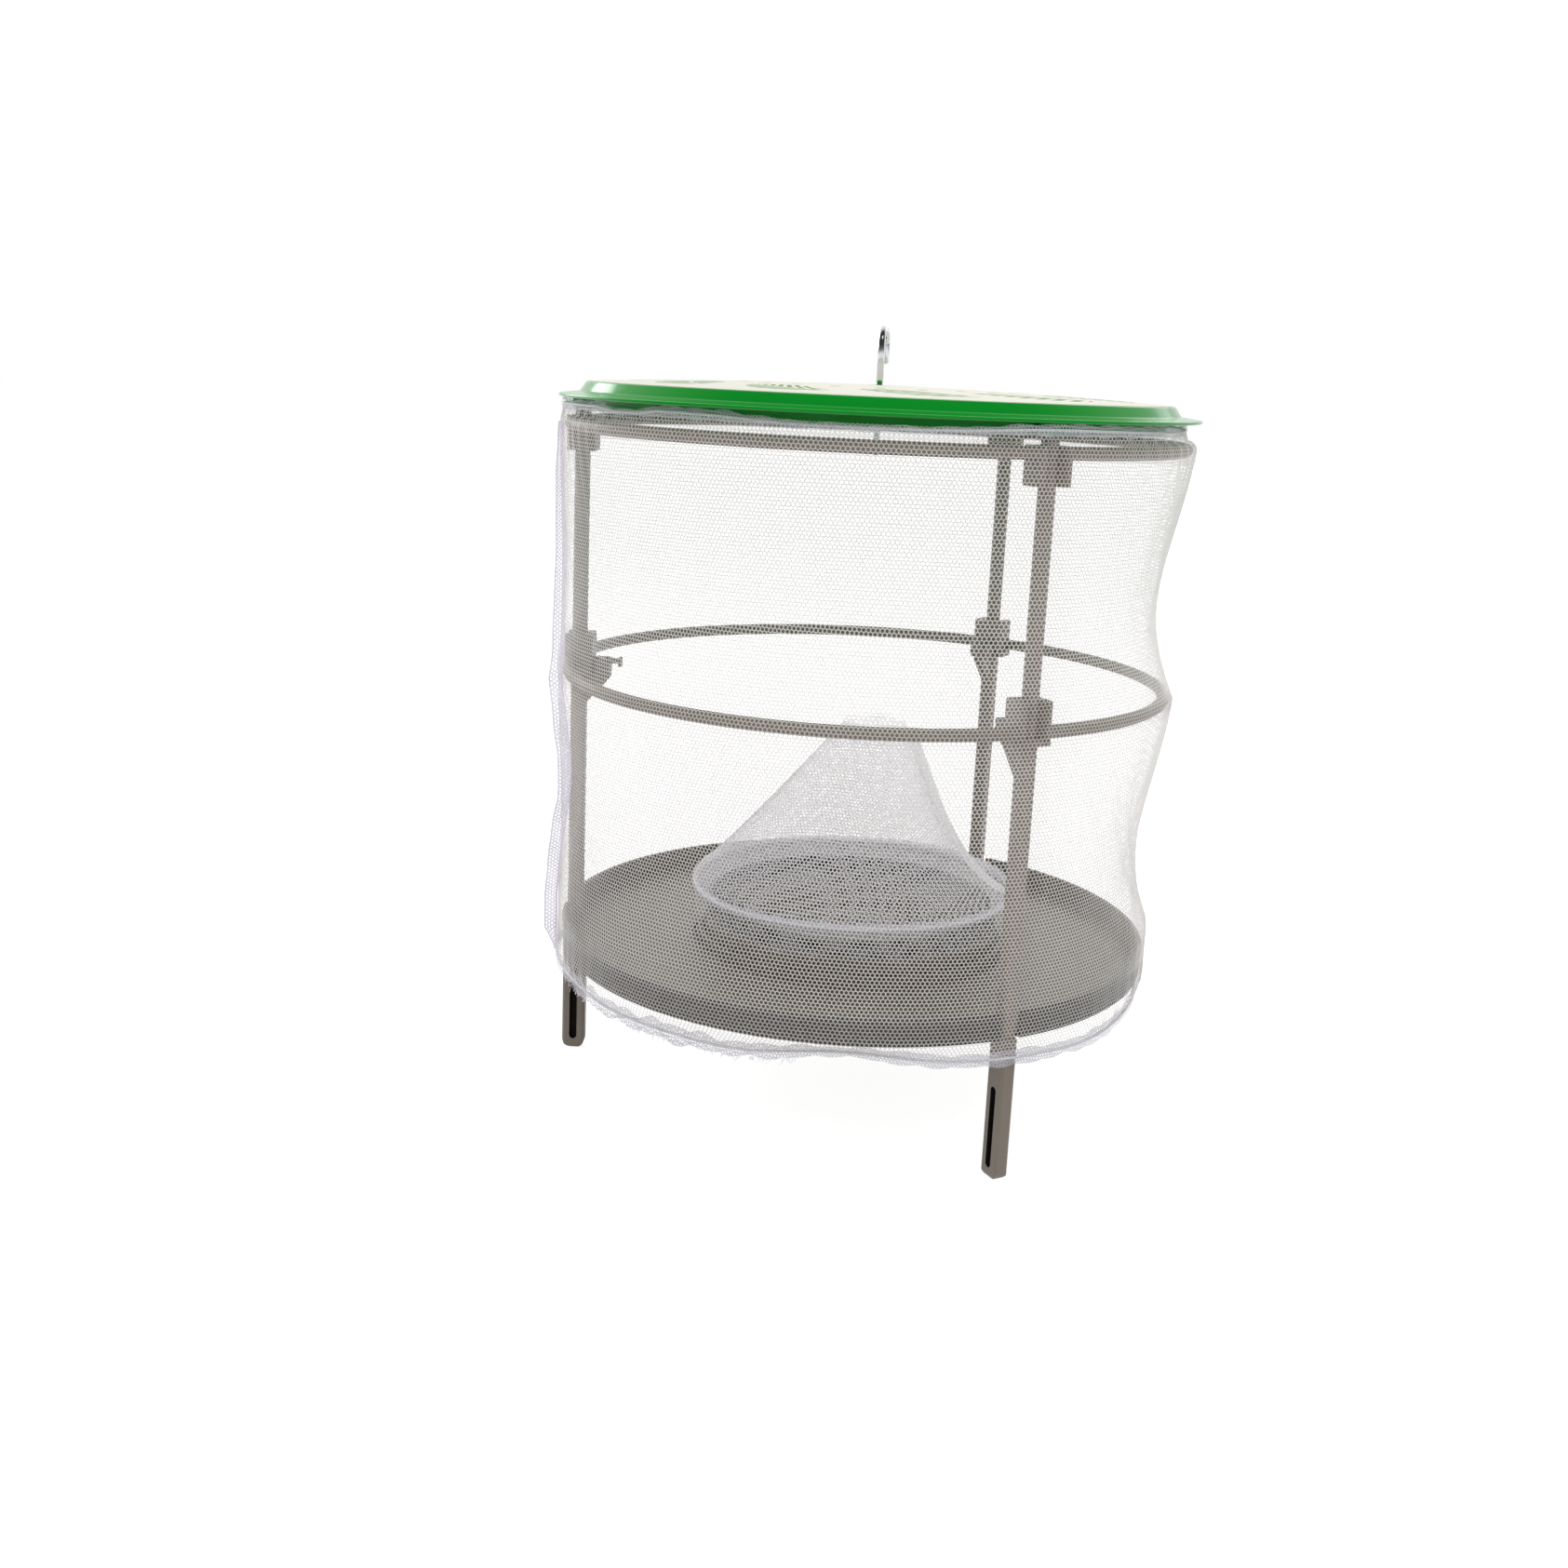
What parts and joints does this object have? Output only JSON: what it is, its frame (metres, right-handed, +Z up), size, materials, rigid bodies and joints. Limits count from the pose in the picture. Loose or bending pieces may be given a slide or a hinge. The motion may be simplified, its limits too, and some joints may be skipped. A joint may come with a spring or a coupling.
{
  "type": "fly trap cage",
  "caption": "Round net fly trap cage with a plastic lid and swivel hook, ring frames on slotted legs, a tray with bait cup and an inner net funnel.",
  "frame": {"origin": "centre of the foot circle, on the surface that the feet stand on", "axes": "+Z up along the cage's axis, +X away from the left leg"},
  "size_m": [0.2521, 0.25, 0.308],
  "materials": {
    "green_plastic": "moulded gloss",
    "taupe_plastic": "moulded satin",
    "plated_steel": "plated wire",
    "net": "knitted polyester mesh",
    "tape": "folded seam tape",
    "elastic": "covered elastic cord",
    "coated_wire": "white plastic coat over wire"
  },
  "bodies": {
    "root": {"top_ring": "taupe_plastic", "middle_ring": "taupe_plastic", "upper_post_left": "taupe_plastic", "upper_post_front": "taupe_plastic", "upper_post_back": "taupe_plastic", "lower_leg_left": "taupe_plastic", "lower_leg_front": "taupe_plastic", "lower_leg_back": "taupe_plastic", "tray": "taupe_plastic", "sleeve_net": "net", "sleeve_top_hem": "tape", "sleeve_top_elastic": "elastic", "sleeve_bottom_hem": "tape", "sleeve_bottom_elastic": "elastic", "sleeve_seam": "tape"},
    "lid": {"lid": "green_plastic"},
    "hook": {"hanging_hook": "plated_steel", "hook_washer": "plated_steel", "hook_nut": "plated_steel"},
    "bait_cup": {"bait_cup": "taupe_plastic"},
    "funnel": {"funnel_net": "net", "funnel_band": "tape", "funnel_hoop": "coated_wire", "funnel_apron": "net", "funnel_mouth_hem": "tape", "funnel_tape": "tape"}
  },
  "joints": [
    {"name": "lid_lift", "type": "slide", "parent": "root", "child": "lid", "axis": [0, 0, 1], "range_m": [0, 0.08]},
    {"name": "hook_swivel", "type": "hinge", "parent": "lid", "child": "hook", "pos_m": [0, 0, 0.282], "axis": [0, 0, 1], "continuous": true},
    {"name": "bait_cup_lift", "type": "slide", "parent": "root", "child": "bait_cup", "axis": [0, 0, 1], "range_m": [0, 0.02]},
    {"name": "funnel_lift", "type": "slide", "parent": "root", "child": "funnel", "axis": [0, 0, 1], "range_m": [0, 0.06]}
  ]
}
